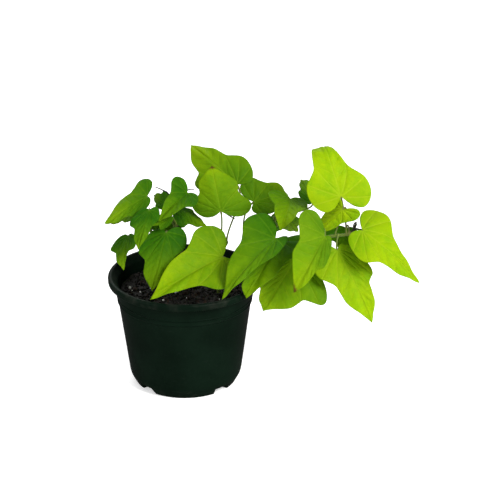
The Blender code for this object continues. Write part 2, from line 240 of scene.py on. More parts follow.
# Dry stalks, and the end of the long vine, which is dry too
DRY_SHOOT = (
    ((165.5, -6, 160), (165.5, -5.5, 165), (166.6, -5, 168.6), (169.6, -5, 169.9)),
    ((167.5, -5.5, 163), (171, -5, 162.2), (175, -3.5, 161)),
)
DRY_STALKS = (
    ((-8.5, 40, 160), (-16, 45, 178), (-22, 46.5, 182.5), (-29.5, 48, 185.4)),
    ((-6, 33, 168), (-2, 31, 184), (4, 29, 190), (9.4, 28, 191)),
    ((37, 27, 169), (43, 27, 164), (49.5, 28.5, 159)),
)
SHOOT_END = (168, -6, 168)

LEAVES = (
    Leaf("leaf_left_top", "vine_left", 0.95, (-36, 7, 192), (-76, -25, 176),
         (-44, -10, 178), (-41, 25, 202), lobes=(1.2, 1.3), young=0.26),
    Leaf("leaf_left_edge", "vine_left", 0.80, (-51, 30, 166), (-73, 20, 156),
         (-56, 15, 161), (-63, 35, 163), young=0.25, dry=0.12),
    Leaf("leaf_left_low", "vine_left", 0.60, (-55, 0, 153), (-58, -30, 129),
         (-47, -14, 149), (-71, -5, 142), lobes=(0.4, 1.1), young=0.2),
    Leaf("leaf_left_inner", "vine_left", 0.90, (-33, -15, 186), (-43, -42, 156),
         (-23, -18, 180), (-51, -22, 177), young=0.1),
    Leaf("leaf_left_front", "vine_left", 0.45, (-17, -14, 162), (-30, -46, 114),
         (3, -14, 151), (-43, -18, 148), lobes=(1.15, 1.15), young=0.14),
    Leaf("leaf_mid_top", "vine_mid", 0.95, (3, 21, 190), (-24, -20, 177),
         (12, 5, 184), (-10, 25, 204), young=0.1),
    Leaf("leaf_mid_left", "vine_mid", 0.80, (-19, 42, 168), (-32, 66, 169),
         (-28, 47, 163), (-19, 52, 179), young=0.1),
    Leaf("leaf_mid_right", "vine_mid", 0.75, (-8, 30, 170), (22, 10, 158),
         (5, 32, 168), (-4, 10, 158), young=0.1),
    Leaf("leaf_mid_low", "vine_mid", 0.60, (-12, 2, 173), (-37, -23, 173),
         (-20, -15, 166), (-25, 3, 173), young=0.25),
    Leaf("leaf_crown_back", "vine_centre", 0.98, (51, 40, 192), (5, 85, 216),
         (14, 45, 183), (62, 60, 209), young=0.4),
    Leaf("leaf_crown_front", "vine_centre", 0.80, (36, 10, 175), (27, 32, 214),
         (8, 18, 176), (66, 18, 178), lobes=(1.25, 1.45), young=0.4, dry=0.07),
    Leaf("leaf_front", "vine_centre", 0.35, (38, -24, 141), (-31, -66, 114.5),
         (44, -60, 125), (18, -10, 167), lobes=(0.7, 1.15), young=0.58),
    Leaf("leaf_front_right", "vine_right", 0.30, (89, -35, 165), (38, -77, 120),
         (92, -52, 157), (64, -12, 178), lobes=(0.9, 1.15), young=0.26),
    Leaf("leaf_back_left", "vine_back", 0.45, (69, 57, 166), (117, 81, 167),
         (61, 71, 185), (84, 46, 157), lobes=(1.2, 1.0), curl=1.8, young=0.3),
    Leaf("leaf_back_mid", "vine_back", 0.85, (104, 20, 184), (93, -29, 170),
         (121, 5, 182), (82, 0, 198), young=0.36),
    Leaf("leaf_back_end", "vine_back", 0.95, (127, 50, 169), (116, 88, 177),
         (114, 60, 171), (137, 70, 176), young=0.15),
    Leaf("leaf_right_low", "vine_right", 0.60, (108, -16, 134), (77, -40, 90),
         (139, -38, 100), (66, -38, 122), lobes=(1.0, 0.85), young=0.42),
    Leaf("leaf_right_inner", "vine_right", 0.50, (94, -14, 152), (61, -54, 110),
         (119, -28, 153), (62, -39, 140), lobes=(1.2, 1.2), young=0.25),
    Leaf("leaf_right_front", "vine_right", 0.70, (136, -45, 172), (106, -75, 126),
         (138, -58, 150), (113, -40, 193), lobes=(1.0, 1.4), young=0.47, dry=0.08),
    Leaf("leaf_right_tip", "vine_right", 0.80, (150, -14, 144), (183, -48, 81),
         (181, -20, 130), (127, -32, 129), lobes=(1.1, 1.1), young=0.75),
    Leaf("leaf_far_right", "vine_right", 0.93, (174, -12, 164), (228, -44, 121),
         (195, 8, 173), (169, -38, 145), lobes=(0.65, 0.85), young=0.95),
    Leaf("leaf_right_top", "vine_right", 0.85, (153, -4, 196), (129, 48, 255),
         (121, -4, 195), (182, 2, 202), lobes=(0.95, 0.6), curl=2.6, young=1.0),
    # young is set high partly for this leaf's yellow colour and partly as painted light where
    # leaf_right_top shades it
    Leaf("leaf_right_mid", "vine_right", 0.78, (154, -12, 186), (130, 4, 153),
         (170, -14, 178), (142, 6, 189), arch=0.1, young=1.0),
    Leaf("leaf_right_under", "vine_right", 0.88, (160, 22, 152), (165, 2, 127),
         (177, 8, 145), (138, 18, 146), young=0.2),
    Leaf("leaf_hidden_left", "vine_mid", 0.30, (-18, 45, 149), (-28, 69, 126),
         (-3, 55, 141), (-37, 51, 142), young=0.2),
    Leaf("leaf_hidden_mid", "vine_back", 0.30, (80, 56, 142), (78, 84, 116),
         (95, 66, 134), (66, 64, 134), young=0.2),
    Leaf("leaf_hidden_right", "vine_back", 0.75, (100, 62, 148), (112, 92, 118),
         (116, 66, 142), (86, 76, 140), young=0.3),
)


def length_prop(name, description, default, least, most):
    """A length that a user may change, given in millimetres."""
    return FloatProperty(name=name, description=description, unit="LENGTH",
                         default=default * MM, min=least * MM, max=most * MM)


def count_prop(name, description, default, most):
    """A count that a user may change."""
    return IntProperty(name=name, description=description, default=default, min=0, max=most)


def colour_prop(name, description, default):
    """A colour that a user may change."""
    return FloatVectorProperty(name=name, description=description, subtype="COLOR",
                               default=default, min=0.0, max=1.0)


class VineSizes(bpy.types.PropertyGroup):
    """Sizes a user may change."""

    blade_thickness: length_prop("Blade thickness", "Thickness of a blade at its middle", 0.8, 0.4, 2.0)
    vein_relief: length_prop("Vein relief", "Depth of the veins in the upper face", 0.35, 0.0, 1.0)
    quilting: length_prop("Quilting", "How far the blade swells between its veins", 0.8, 0.0, 3.0)
    soil_lump: length_prop("Soil lumps", "Height of the lumps in the soil", 1.6, 0.0, 4.0)
    crumb_count: count_prop("Crumbs", "Number of loose crumbs on the soil", 1500, 4000)
    bark_count: count_prop("Bark chips", "Number of bark chips on the soil", 170, 500)
    perlite_count: count_prop("Perlite grains", "Number of white grains on the soil", 34, 300)


class VineColours(bpy.types.PropertyGroup):
    """Colours a user may change."""

    leaf_old: colour_prop("Older leaf", "Upper face of an older leaf", (0.03, 0.13, 0.001))
    leaf_young: colour_prop("Young leaf", "Upper face of a young leaf", (0.30, 0.46, 0.001))
    leaf_under: colour_prop("Leaf underside", "Lower face of a leaf", (0.05, 0.15, 0.006))
    stem: colour_prop("Stem", "Vines and leaf stalks", (0.10, 0.155, 0.022))
    pot: colour_prop("Pot", "Plastic of the pot", (0.0019, 0.0060, 0.0032))
    soil: colour_prop("Soil", "Dark part of the potting mix", (0.0055, 0.0045, 0.0026))
    bark: colour_prop("Bark", "Bark chips in the potting mix", (0.055, 0.026, 0.012))


class Sock:
    """A shader socket that maths can be written with."""

    def __init__(self, tree, link):
        self.tree = tree
        self.link = link

    def node(self, kind, settings=None, output=0, **values):
        """Adds a node. Settings are its properties, output is the place or name of the
        socket it gives, and values are its sockets by name, with an underscore for a
        space, or by in0, in1 and so on."""
        made = self.tree.nodes.new(kind)
        for key, value in (settings or {}).items():
            setattr(made, key, value)
        for key, value in values.items():
            numbered = key[:2] == "in" and key[2:].isdigit()
            socket = made.inputs[int(key[2:]) if numbered else key.replace("_", " ")]
            if isinstance(value, Sock):
                self.tree.links.new(value.link, socket)
            else:
                socket.default_value = value
        return Sock(self.tree, made.outputs[output])

    def maths(self, operation, *values):
        return self.node("ShaderNodeMath", {"operation": operation},
                         **{f"in{k}": value for k, value in enumerate(values)})

    def __add__(self, other):
        return self.maths("ADD", self, other)

    def __sub__(self, other):
        return self.maths("SUBTRACT", self, other)

    def __rsub__(self, other):
        return self.maths("SUBTRACT", other, self)

    def __mul__(self, other):
        return self.maths("MULTIPLY", self, other)

    __radd__ = __add__
    __rmul__ = __mul__

    def __truediv__(self, other):
        return self.maths("DIVIDE", self, other)

    def least(self, other):
        return self.maths("MINIMUM", self, other)

    def most(self, other):
        return self.maths("MAXIMUM", self, other)

    def alone(self, operation):
        return self.maths(operation, self)

    def size(self):
        return self.alone("ABSOLUTE")

    def step(self, low, high, to_low=0.0, to_high=1.0):
        """Smooth change from to_low to to_high as the value goes from low to high."""
        return self.node("ShaderNodeMapRange", {"interpolation_type": "SMOOTHSTEP"}, Value=self,
                         From_Min=low, From_Max=high, To_Min=to_low, To_Max=to_high)

    def mix(self, colour_a, colour_b):
        """Colour a where the value is 0 and colour b where it is 1."""
        full = [c if isinstance(c, Sock) else (*c[:3], 1.0) for c in (colour_a, colour_b)]
        return self.node("ShaderNodeMix", {"data_type": "RGBA"}, output=2, in0=self, in6=full[0],
                         in7=full[1])

    def noise(self, scale, detail=4.0, roughness=0.55):
        return self.node("ShaderNodeTexNoise", Vector=self, Scale=scale, Detail=detail,
                         Roughness=roughness)

    def cells(self, scale, feature="F1"):
        return self.node("ShaderNodeTexVoronoi", {"feature": feature}, Vector=self, Scale=scale)


def new_material(name):
    """A material with only a Principled shader. Gives the material, its shader and
    a socket to start maths from, the Object coordinates."""
    made = bpy.data.materials.new(name)
    made.use_nodes = True
    tree = made.node_tree
    place = Sock(tree, None).node("ShaderNodeTexCoord", output="Object")
    return made, tree.nodes["Principled BSDF"], place


def feed(start, shader, bump=None, height=0.0003, **sockets):
    """Links or sets the shader's sockets, and a bump where one is given."""
    for key, value in sockets.items():
        socket = shader.inputs[key.replace("_", " ")]
        if isinstance(value, Sock):
            start.tree.links.new(value.link, socket)
        else:
            socket.default_value = value
    if bump is not None:
        normal = start.node("ShaderNodeBump", Height=bump, Distance=height, Strength=1.0)
        start.tree.links.new(normal.link, shader.inputs["Normal"])


def mirrored(tree):
    """1 where a shiny surface mirrors what is looked up, and 0 elsewhere."""
    return Sock(tree, None).node("ShaderNodeLightPath", output="Is Glossy Ray")


def mix_in(made, shader, other, share):
    """Mixes a second shader into the material's own."""
    both = other.node("ShaderNodeMixShader", in0=share, in2=other)
    links = made.node_tree.links
    links.new(shader.outputs[0], both.link.node.inputs[1])
    links.new(both.link, made.node_tree.nodes["Material Output"].inputs["Surface"])


def leaf_material(colours):
    """Chartreuse blade. Its own map holds the place in the outline, so the veins are
    lines there: the midrib, veins that fan from the base and veins that leave the
    midrib at an even pace, with a fine net between them."""
    made, shader, place = new_material("sweet potato leaf")
    blade = place.node("ShaderNodeUVMap", {"uv_map": "blade"})
    x, y = (blade.node("ShaderNodeSeparateXYZ", output=axis, in0=blade) for axis in (0, 1))
    young, under, dry = (place.node("ShaderNodeAttribute", {"attribute_name": mark}, output=2)
                         for mark in ("young", "under", "dry"))
    side = y.size()
    reach = (x * x + y * y).alone("SQRT")
    angle = side.maths("ARCTAN2", side, x)
    wobble = (place.noise(55.0, 2.0) - 0.5) * 0.03
    near = side + wobble * 0.2
    for vein in BASAL_VEINS:
        near = near.least(reach * (angle - (vein + BASAL_BEND * reach)).size() + wobble * 0.3)
    along = x - side * LATERAL_LEAN + side * side * LATERAL_CURVE
    row = (along * LATERALS + y.alone("SIGN") * LATERAL_SHIFT).alone("FRACT")
    lateral = (row - 0.5).size() * (LATERAL_SLANT / LATERALS) + wobble * 0.2
    lateral = lateral + angle.step(*LATERAL_FAN) * 0.2 + along.step(0.1, 0.0) * 0.2
    width = 1.25 - reach
    vein = (near / width).step(0.004, 0.013, 1.0, 0.0)
    vein = vein.most((lateral / width).step(0.002, 0.008, 0.75, 0.0))
    mesh = blade.cells(26.0, "DISTANCE_TO_EDGE").step(0.0, 0.08, 1.0, 0.0)
    fine = blade.cells(80.0, "DISTANCE_TO_EDGE").step(0.0, 0.10, 1.0, 0.0)

    # young holds painted shade too: each blade is greener and darker towards its base
    upper = young.mix(colours.leaf_old, colours.leaf_young)
    patch = place.noise(34.0, 4.0, 0.6).step(0.40, 0.62)
    fleck = place.noise(190.0, 3.0, 0.65).step(0.46, 0.7)
    for share, old, new in (
        (patch * 0.7, (0.012, 0.085, 0.001), (0.19, 0.39, 0.001)),
        (fleck * 0.3, (0.07, 0.22, 0.002), (0.42, 0.52, 0.003)),
        (mesh * 0.22 + fine * 0.12, (0.02, 0.10, 0.001), (0.14, 0.30, 0.001)),
        (vein * 0.32, (0.10, 0.24, 0.006), (0.44, 0.56, 0.02)),
    ):
        upper = share.mix(upper, young.mix(old, new))
    pale = young.mix((0.04, 0.11, 0.008), (0.15, 0.26, 0.015))
    lower = (patch * 0.3).mix(colours.leaf_under, pale)
    lower = (vein * 0.6 + mesh * 0.12).mix(lower, (0.17, 0.26, 0.04))
    colour = under.mix(upper, lower)
    brown = (dry + (place.noise(300.0, 2.0) - 0.5) * 0.5).step(0.35, 0.65)
    colour = brown.mix(colour, (0.09, 0.045, 0.008))
    spots = place.cells(75.0).step(0.035, 0.06, 1.0, 0.0) * place.noise(40.0).step(0.56, 0.62)
    colour = (spots * 0.6).mix(colour, (0.10, 0.09, 0.01))
    sheen = 0.42 + place.noise(220.0, 2.0) * 0.16 + under * 0.18 + brown * 0.25
    height = vein * (under * 1.6 - 0.8) - mesh * 0.25 - fine * 0.12 + place.noise(900.0, 2.0) * 0.15
    feed(place, shader, bump=height, height=0.00035, Base_Color=colour, Roughness=sheen,
         Specular_IOR_Level=0.05)
    through = place.node("ShaderNodeBsdfTranslucent", Color=(0.30, 0.52, 0.004, 1.0))
    mix_in(made, shader, through, 0.22)
    return made


def stem_material(colours):
    """Smooth living stem: green that turns brown in stretches, with pale flecks and
    pores. It is nearly black at the end of the long vine."""
    made, shader, place = new_material("vine stem")
    brown = place.noise(45.0, 3.0).step(0.42, 0.65)
    colour = (brown * 0.7).mix(colours.stem, (0.12, 0.095, 0.025))
    colour = (place.noise(260.0, 4.0).step(0.5, 0.75) * 0.4).mix(colour, (0.26, 0.32, 0.08))
    pores = place.cells(420.0).step(0.10, 0.2, 1.0, 0.0)
    colour = (pores * 0.25).mix(colour, (0.36, 0.40, 0.16))
    away = place.node("ShaderNodeVectorMath", {"operation": "DISTANCE"}, output=1, in0=place,
                      in1=[part * MM for part in SHOOT_END])
    colour = away.step(0.013, 0.007).mix(colour, (0.012, 0.013, 0.005))
    feed(place, shader, bump=place.noise(500.0, 3.0) + pores * 0.4, height=0.00015,
         Base_Color=colour, Roughness=0.42 + brown * 0.2, Specular_IOR_Level=0.15)
    return made


def dry_stem_material():
    """Withered stem: nearly black, a little brown, and uneven."""
    made, shader, place = new_material("dry stem")
    grain = place.noise(300.0, 3.0)
    colour = grain.step(0.4, 0.7).mix((0.006, 0.007, 0.003), (0.030, 0.022, 0.010))
    feed(place, shader, bump=grain, height=0.0002, Base_Color=colour, Roughness=0.7)
    return made


def pot_material(colours):
    """Moulded plastic: nearly black green, faint flow clouds, fine scratches round
    the wall, dust near the rim and the foot."""
    made, shader, place = new_material("nursery pot plastic")
    turned = place.node("ShaderNodeMapping", Vector=place, Scale=(1.0, 1.0, 9.0))
    cloud = place.noise(22.0, 4.0).step(0.35, 0.7)
    colour = (cloud * 0.6).mix(colours.pot, tuple(c * 1.9 for c in colours.pot))
    scratch = turned.noise(150.0, 5.0, 0.7).step(0.60, 0.72)
    colour = (scratch * 0.2).mix(colour, (0.03, 0.04, 0.034))
    height = place.node("ShaderNodeSeparateXYZ", output=2, in0=place)
    dust = height.step(0.099, 0.114) * place.noise(70.0, 5.0, 0.65).step(0.42, 0.75)
    dust = dust.most(height.step(0.014, 0.0) * place.noise(90.0, 5.0, 0.65).step(0.45, 0.8))
    colour = (dust * 0.2).mix(colour, (0.07, 0.065, 0.055))
    rough = 0.33 + cloud * 0.07 + scratch * 0.12 + dust * 0.25
    grain = place.noise(1400.0, 2.0) * 0.5 + scratch * 0.4 + place.noise(60.0, 2.0) * 1.2
    feed(place, shader, bump=grain, height=0.00008, Base_Color=colour, Roughness=rough,
         Specular_IOR_Level=0.03)
    return made


def soil_material(colours):
    """Damp peat: dark, with brown flecks and lighter specks."""
    made, shader, place = new_material("potting soil")
    fleck = place.noise(420.0, 4.0, 0.7).step(0.52, 0.68)
    colour = fleck.mix(colours.soil, (0.026, 0.016, 0.010))
    colour = (place.cells(520.0).step(0.12, 0.2, 1.0, 0.0) * 0.3).mix(colour, (0.06, 0.045, 0.032))
    feed(place, shader, bump=place.noise(700.0, 5.0, 0.7), height=0.0009, Base_Color=colour,
         Roughness=0.85 + fleck * 0.1)
    return made


def bark_material(colours):
    """Shredded bark with a grain of dark and lighter brown."""
    made, shader, place = new_material("bark chip")
    drawn = place.node("ShaderNodeMapping", Vector=place, Scale=(1.0, 3.0, 1.0))
    grain = drawn.noise(350.0, 5.0, 0.7)
    colour = grain.step(0.35, 0.7).mix(tuple(c * 0.3 for c in colours.bark), colours.bark)
    feed(place, shader, bump=grain, height=0.0005, Base_Color=colour, Roughness=0.9)
    return made


def perlite_material():
    """White foamed grains with a grey, pitted surface."""
    made, shader, place = new_material("perlite")
    pits = place.cells(1500.0).step(0.1, 0.5)
    colour = pits.mix((0.30, 0.29, 0.27), (0.66, 0.65, 0.62))
    feed(place, shader, bump=pits, height=0.0002, Base_Color=colour, Roughness=0.9)
    return made


def unit(vectors):
    """Vectors made one long along the last axis."""
    vectors = np.asarray(vectors, float)
    return vectors / np.maximum(np.linalg.norm(vectors, axis=-1, keepdims=True), 1e-12)


def smooth_curve(points, count):
    """Points evenly spread over a Catmull-Rom curve through the given points."""
    knots = np.array(points, float)
    padded = np.vstack([2 * knots[0] - knots[1], knots, 2 * knots[-1] - knots[-2]])
    at = np.linspace(0, len(knots) - 1, count)
    span = np.minimum(at.astype(int), len(knots) - 2)
    t = (at - span)[:, None]
    a, b, c, d = (padded[span + k] for k in range(4))
    return 0.5 * (
        2 * b + (c - a) * t + (2 * a - 5 * b + 4 * c - d) * t**2 + (3 * b - a - 3 * c + d) * t**3
    )


def bezier(p0, p1, p2, p3, count):
    """Points on a cubic Bezier curve."""
    t = np.linspace(0, 1, count)[:, None]
    return p0 * (1 - t) ** 3 + 3 * p1 * t * (1 - t) ** 2 + 3 * p2 * t**2 * (1 - t) + p3 * t**3


def smoothstep(low, high, value):
    """0 below low, 1 above high and a smooth change between."""
    t = np.clip((value - low) / (high - low), 0, 1)
    return t * t * (3 - 2 * t)


def value_noise(x, y, cell, seed):
    """Smooth noise from -1 to 1: random values on a square lattice of the given cell,
    eased between its corners."""
    lattice = np.random.default_rng(seed).uniform(-1, 1, (64, 64))
    u, v = np.asarray(x, float) / cell, np.asarray(y, float) / cell
    i, j = np.floor(u).astype(int), np.floor(v).astype(int)
    s, t = smoothstep(0, 1, u - i), smoothstep(0, 1, v - j)
    i, j = i % 64, j % 64
    k, m = (i + 1) % 64, (j + 1) % 64
    low = lattice[i, j] * (1 - s) + lattice[k, j] * s
    return low * (1 - t) + (lattice[i, m] * (1 - s) + lattice[k, m] * s) * t


def grid_faces(rows, columns, closed=False):
    """Quads of a grid of points in row order. A closed grid joins its last column
    to its first."""
    last = columns if closed else columns - 1
    row, column = np.meshgrid(np.arange(rows - 1), np.arange(last), indexing="ij")
    right = (column + 1) % columns
    corners = [row * columns + column, row * columns + right,
               (row + 1) * columns + right, (row + 1) * columns + column]
    return np.stack(corners, axis=-1).reshape(-1, 4)


def placed(name, data):
    """A new object in the scene."""
    obj = bpy.data.objects.new(name, data)
    bpy.context.scene.collection.objects.link(obj)
    return obj


def add_piece(name, points, faces, material, smooth=True, marks=None):
    """A mesh object from points in millimetres. Marks are values at its points by
    attribute name."""
    mesh = bpy.data.meshes.new(name)
    mesh.from_pydata(np.asarray(points, float) * MM, [], [list(face) for face in faces])
    for mark, values in (marks or {}).items():
        attribute = mesh.attributes.new(mark, "FLOAT", "POINT")
        attribute.data.foreach_set("value", np.ascontiguousarray(values, np.float32))
    mesh.materials.append(material)
    if smooth:
        mesh.shade_smooth()
    return placed(name, mesh)


def weld(mesh, distance=WELD, outwards=False):
    """Merges points that coincide, and turns the faces outwards where asked."""
    made = bmesh.new()
    made.from_mesh(mesh)
    bmesh.ops.remove_doubles(made, verts=made.verts, dist=distance)
    bmesh.ops.dissolve_degenerate(made, edges=made.edges, dist=1e-7)
    if outwards:
        bmesh.ops.recalc_face_normals(made, faces=made.faces)
    made.to_mesh(mesh)
    made.free()


def settle(piece, slot, *nodes):
    """The piece rides on the one body and stands for its CAD nodes. The slot is not used."""
    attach(piece, "root")
    if nodes:
        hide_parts(*nodes)


def leaf_axes(leaf):
    """Unit vectors of a blade: along it and out of its upper face."""
    along = unit(np.subtract(leaf.tip, leaf.base))
    return along, unit(np.cross(np.subtract(leaf.right, leaf.left), along))


def blade_sheet(leaf, x, y, ray):
    """Middle surface of a blade at places in its outline. The line from base to tip
    carries x and the line to the ear on that side carries y, with the fold between
    the two sides made round over SOFT_RIB. A middle lobe that is wider or narrower
    than usual spreads that line's share from LOBE_START on. An arch along the blade,
    a wave that grows towards the edge and a finer ripple near it are added along the
    face. A curled leaf follows an arc of a circle from CURL_START on."""
    base = np.array(leaf.base, float)
    spine = np.subtract(leaf.tip, base)
    length = np.linalg.norm(spine)
    _, up = leaf_axes(leaf)
    left, right = (np.subtract(ear, base) - EAR_X * spine for ear in (leaf.left, leaf.right))
    lobe = np.where(y < 0, *leaf.lobes)
    widen = (1 + (lobe - 1) * np.clip((x - LOBE_START) / LOBE_SPAN, 0, 1))[..., None]
    bowl = (np.hypot(y, SOFT_RIB) - SOFT_RIB) / (np.hypot(EAR_Y, SOFT_RIB) - SOFT_RIB)
    level, tilt = bowl[..., None] * (left + right), (y / EAR_Y)[..., None] * (right - left)
    across = widen * (level / 2 + tilt / 2)
    reach = np.hypot(x, y)
    lift = leaf.arch * (x - x * np.abs(x)) + leaf.wave * reach * np.sin(WAVES * ray + len(leaf.name))
    ripple = RIPPLE * smoothstep(0.2, 0.5, np.hypot(x * 0.6, y))
    lift = lift + ripple * np.sin(RIPPLES * ray + 2 * len(leaf.name))
    if leaf.curl:
        radius = (1 - CURL_START) / leaf.curl
        turn = np.maximum(x - CURL_START, 0) / radius
        lift = lift - radius * (1 - np.cos(turn))
        x = np.minimum(x, CURL_START) + radius * np.sin(turn)
    return base + x[..., None] * spine + across + (lift * length)[..., None] * up


def vein_strength(x, y):
    """1 on a vein and 0 away from it, for the midrib, the veins that fan from the
    base and the ones that leave the midrib."""
    side, reach = np.abs(y), np.hypot(x, y)
    angle = np.arctan2(side, x)
    width = np.maximum(VEIN_WIDTH * (1.15 - reach), LEAST_VEIN)
    strong = np.exp(-((side / width) ** 2) * 1.5)
    for vein in BASAL_VEINS:
        away = reach * np.abs(angle - vein - BASAL_BEND * reach)
        strong = np.maximum(strong, BASAL_SHARE * np.exp(-((away / width) ** 2) * 2))
    along = x - side * LATERAL_LEAN + side**2 * LATERAL_CURVE
    row = (along * LATERALS + np.sign(y) * LATERAL_SHIFT) % 1.0
    away = np.abs(row - 0.5) * LATERAL_SLANT / LATERALS
    inside = smoothstep(*LATERAL_FAN[::-1], angle) * smoothstep(0.0, 0.1, along)
    return np.maximum(strong, LATERAL_SHARE * inside * np.exp(-((away / width) ** 2) * 3))


def skin_edge(row, below):
    """Quads that join a row of points to the row that lies the given count after."""
    return np.stack([row[:-1], row[1:], row[1:] + below, row[:-1] + below], axis=-1)


def blade_piece(leaf, sizes, material):
    """One blade as a closed skin: an upper and a lower grid whose columns are rays
    from the base to the outline and whose rows are that outline scaled down, joined
    at the margin. Thickness tapers to the margin, veins sink into the upper face and
    stand out of the lower one, and the blade swells between them."""
    half = smooth_curve(HALF_OUTLINE, HALF_RAYS + 1)
    outline = np.vstack([half * (1, -1), half[-2::-1]])
    ray = np.linspace(-1, 1, 2 * HALF_RAYS + 1)
    rows = np.linspace(0, 1, BLADE_RINGS + 1)[:, None] ** ROW_EASE
    x, y = rows * outline[:, 0], rows * outline[:, 1]
    length = np.linalg.norm(np.subtract(leaf.tip, leaf.base))
    sheet = blade_sheet(leaf, x, y, np.broadcast_to(ray, x.shape))
    normal = np.cross(np.gradient(sheet, axis=1), np.gradient(sheet, axis=0))
    _, up = leaf_axes(leaf)
    normal = unit(normal * np.sign((normal * up).sum(-1).mean()))
    normal[0] = normal[1].mean(axis=0)
    normal = unit(normal)
    strength = vein_strength(x, y)
    scale = min(1.0, length / SWELL_LENGTH)
    swell = sizes.quilting / MM * scale * (1 - strength) * smoothstep(0.0, 0.25, rows)
    swell = swell * smoothstep(1.0, 0.8, rows) * SWELL_SHARE
    groove = sizes.vein_relief / MM * strength * smoothstep(1.0, 0.9, rows)
    thick = sizes.blade_thickness / MM * (0.75 + 0.25 * smoothstep(1.0, 0.7, rows)) / 2
    top = sheet + (swell + thick - groove)[..., None] * normal
    low = sheet + (swell - thick - groove * RIB_SHARE)[..., None] * normal
    count, columns = x.size, len(ray)
    upper = grid_faces(BLADE_RINGS + 1, columns)
    rim = skin_edge(BLADE_RINGS * columns + np.arange(columns), count)
    first = skin_edge(np.arange(BLADE_RINGS + 1) * columns, count)
    last = first[:, ::-1] + columns - 1
    faces = np.vstack([upper, upper[:, ::-1] + count, rim[:, ::-1], first, last])
    shade = np.random.default_rng(len(leaf.name) * 7).uniform(-SHADE, SHADE)
    # the young mark also holds painted shade: its gradient makes each blade greener and darker towards
    # the base
    values = {
        "young": np.clip(leaf.young + shade + TIP_YOUTH_AND_BASE_SHADE * (np.clip(x, 0, 1) - TIP_YOUTH_AND_BASE_SHADE_MIDDLE), 0, 1),
        "dry": np.clip(1 - (1 - x) / (leaf.dry * 2), 0, 1) if leaf.dry else np.zeros_like(x),
        "place_x": x,
        "place_y": y,
    }
    marks = {key: np.tile(value.ravel(), 2) for key, value in values.items()}
    marks["under"] = np.repeat([0.0, 1.0], count)
    points = np.vstack([top.reshape(-1, 3), low.reshape(-1, 3)])
    piece = add_piece(leaf.name.replace("leaf_", "blade_"), points, faces, material, marks=marks)
    weld(piece.data, outwards=True)
    give_blade_map(piece.data)
    return piece


def give_blade_map(mesh):
    """Moves the place in the outline from its two point attributes to a UV map."""
    corners = np.empty(len(mesh.loops), np.int32)
    mesh.loops.foreach_get("vertex_index", corners)
    places = []
    for mark in ("place_x", "place_y"):
        values = np.empty(len(mesh.vertices), np.float32)
        mesh.attributes[mark].data.foreach_get("value", values)
        places.append(values[corners])
    layer = mesh.uv_layers.new(name="blade")
    layer.data.foreach_set("uv", np.stack(places, axis=-1).ravel())
    for mark in ("place_x", "place_y"):
        mesh.attributes.remove(mesh.attributes[mark])


def tube_points(path, radii, sides, round_ends=True):
    """Rings of points along a path, each square to it, with a frame carried along
    without twist, and a pole at either end. Rings shrink at the ends as on a ball."""
    path = np.asarray(path, float)
    radii = np.asarray(radii, float)
    if round_ends:
        cap = np.array(CAP_RINGS)
        drop = np.sqrt(1 - cap**2)
        start = path[0] - unit(path[1] - path[0]) * radii[0] * drop[:, None]
        end = path[-1] + unit(path[-1] - path[-2]) * radii[-1] * drop[::-1, None]
        path = np.vstack([start, path, end])
        radii = np.concatenate([radii[0] * cap, radii, radii[-1] * cap[::-1]])
    tangent = unit(np.gradient(path, axis=0))
    side = unit(np.cross(tangent[0], ASIDE))
    frames = []
    for direction in tangent:
        side = unit(side - np.dot(side, direction) * direction)
        frames.append(side)
    across = np.array(frames)[:, None]
    other = np.cross(tangent, frames)[:, None]
    angle = np.linspace(0, 2 * np.pi, sides, endpoint=False)[:, None]
    rings = path[:, None] + (np.cos(angle) * across + np.sin(angle) * other) * radii[:, None, None]
    points = np.vstack([rings.reshape(-1, 3), path[:1], path[-1:]])
    count, pole = len(path), len(path) * sides
    turn = np.arange(sides)
    following, last = np.roll(turn, -1), (count - 1) * sides
    first_cap = np.stack([following, turn, 0 * turn + pole], axis=-1)
    last_cap = np.stack([last + turn, last + following, 0 * turn + pole + 1], axis=-1)
    return points, [*grid_faces(count, sides, closed=True), *first_cap, *last_cap]


def vine_route(name):
    """The stem stands straight in its hole, then follows its own points."""
    (x, y), *rest = VINES[name]
    rooted = [(x, y, SOIL_Z + rise) for rise in (-ROOT_DEPTH, -STRAIGHT_BELOW, STRAIGHT_ABOVE)]
    return smooth_curve(rooted + rest, VINE_POINTS)


def petiole_route(leaf, vine, count):
    """A stalk that leaves the vine upwards and comes in under the blade's base."""
    along, up = leaf_axes(leaf)
    spot = leaf.at * (len(vine) - 1)
    low = int(min(spot, len(vine) - 2))
    start = vine[low] + (vine[low + 1] - vine[low]) * (spot - low)
    end = np.array(leaf.base, float) - up * STALK_UNDER - along * STALK_BEHIND
    reach = np.linalg.norm(end - start)
    lift = np.array((0, 0, 1.0)) * reach * PETIOLE_RISE
    return bezier(start, start + lift, end - (along + up) * reach * PETIOLE_REACH, end, count)


def combined(name, hub, others, operation, material):
    """One object made of a closed body and others by a Boolean. They are used up."""
    tools = bpy.data.collections.new(name + " parts")
    bpy.context.scene.collection.children.link(tools)
    for obj in others:
        bpy.context.scene.collection.objects.unlink(obj)
        tools.objects.link(obj)
    change = hub.modifiers.new("change", "BOOLEAN")
    change.operation = operation
    change.operand_type = "COLLECTION"
    change.collection = tools
    bpy.context.view_layer.update()
    graph = bpy.context.evaluated_depsgraph_get()
    mesh = bpy.data.meshes.new_from_object(hub.evaluated_get(graph))
    for obj in (*others, hub):
        bpy.data.objects.remove(obj)
    bpy.data.collections.remove(tools)
    mesh.name = name
    mesh.materials.clear()
    mesh.materials.append(material)
    return placed(name, mesh)


def closed_piece(name, points, faces, material):
    """A mesh object whose meeting points are merged and whose faces point outwards."""
    obj = add_piece(name, points, faces, material)
    weld(obj.data, outwards=True)
    return obj


